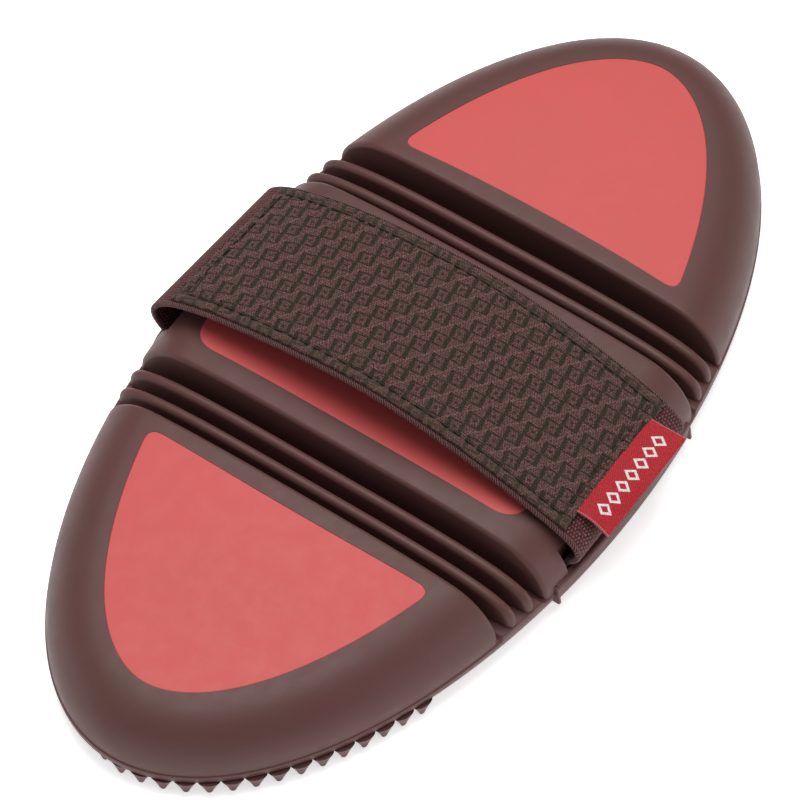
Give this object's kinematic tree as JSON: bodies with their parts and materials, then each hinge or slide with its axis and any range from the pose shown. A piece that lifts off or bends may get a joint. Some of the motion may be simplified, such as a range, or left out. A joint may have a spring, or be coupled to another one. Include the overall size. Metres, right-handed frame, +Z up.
{
  "type": "curry comb",
  "caption": "Flexible oval rubber curry comb with a toothed sole, domed blocks joined by ribbed flex zones, coral grip pads and a padded fabric hand strap.",
  "frame": {"origin": "middle of the flat tip of the centre tooth, on the plane the comb rests on", "axes": "+X along the comb's length to the rear end, +Y across the comb to its left side, away from the label, +Z up from the teeth to the hand strap"},
  "size_m": [0.2114, 0.1089, 0.0307],
  "materials": {
    "body_rubber": "satin dark brown",
    "pad_rubber": "matte coral",
    "webbing": "coarse weave, ribbed edges, dark maroon brown",
    "panel_fabric": "patterned jacquard weave, olive brown",
    "thread": "dark twisted thread",
    "label_fabric": "fine woven red"
  },
  "bodies": {
    "centre_section": {"centre_shell": "body_rubber", "centre_pad": "pad_rubber", "centre_sole": "body_rubber", "left_strap_strip": "body_rubber", "right_strap_strip": "body_rubber", "strap_webbing": "webbing", "strap_panel": "panel_fabric", "panel_stitching": "thread"},
    "label": {"side_label": "label_fabric"},
    "front_inner_flex": {"front_inner_rib": "body_rubber", "front_inner_rib_sole": "body_rubber"},
    "front_outer_flex": {"front_outer_rib": "body_rubber", "front_outer_rib_sole": "body_rubber"},
    "front_section": {"front_shell": "body_rubber", "front_pad": "pad_rubber", "front_sole": "body_rubber"},
    "rear_inner_flex": {"rear_inner_rib": "body_rubber", "rear_inner_rib_sole": "body_rubber"},
    "rear_outer_flex": {"rear_outer_rib": "body_rubber", "rear_outer_rib_sole": "body_rubber"},
    "rear_section": {"rear_shell": "body_rubber", "rear_pad": "pad_rubber", "rear_sole": "body_rubber"}
  },
  "joints": [
    {"name": "front_inner_bend", "type": "hinge", "parent": "centre_section", "child": "front_inner_flex", "pos_m": [-0.0289, 0, 0.0053], "axis": [0, 1, 0], "range_deg": [-12, 12], "stiffness_Nm_per_rad": 0.3},
    {"name": "front_middle_bend", "type": "hinge", "parent": "front_inner_flex", "child": "front_outer_flex", "pos_m": [-0.03395, 0, 0.0053], "axis": [0, 1, 0], "range_deg": [-12, 12], "stiffness_Nm_per_rad": 0.3},
    {"name": "front_outer_bend", "type": "hinge", "parent": "front_outer_flex", "child": "front_section", "pos_m": [-0.0392, 0, 0.0053], "axis": [0, 1, 0], "range_deg": [-12, 12], "stiffness_Nm_per_rad": 0.3},
    {"name": "rear_inner_bend", "type": "hinge", "parent": "centre_section", "child": "rear_inner_flex", "pos_m": [0.0289, 0, 0.0053], "axis": [0, -1, 0], "range_deg": [-12, 12], "stiffness_Nm_per_rad": 0.3},
    {"name": "rear_middle_bend", "type": "hinge", "parent": "rear_inner_flex", "child": "rear_outer_flex", "pos_m": [0.03395, 0, 0.0053], "axis": [0, -1, 0], "range_deg": [-12, 12], "stiffness_Nm_per_rad": 0.3},
    {"name": "rear_outer_bend", "type": "hinge", "parent": "rear_outer_flex", "child": "rear_section", "pos_m": [0.0392, 0, 0.0053], "axis": [0, -1, 0], "range_deg": [-12, 12], "stiffness_Nm_per_rad": 0.3},
    {"name": "label_flap", "type": "hinge", "parent": "centre_section", "child": "label", "pos_m": [0.00045, -0.0481, 0.019], "axis": [-1, 0, 0], "range_deg": [-20, 90], "stiffness_Nm_per_rad": 0.0006}
  ],
  "couplings": [
    {"joint": "front_middle_bend", "follows": "front_outer_bend", "ratio": 1},
    {"joint": "front_inner_bend", "follows": "front_outer_bend", "ratio": 1},
    {"joint": "rear_middle_bend", "follows": "rear_outer_bend", "ratio": 1},
    {"joint": "rear_inner_bend", "follows": "rear_outer_bend", "ratio": 1}
  ]
}
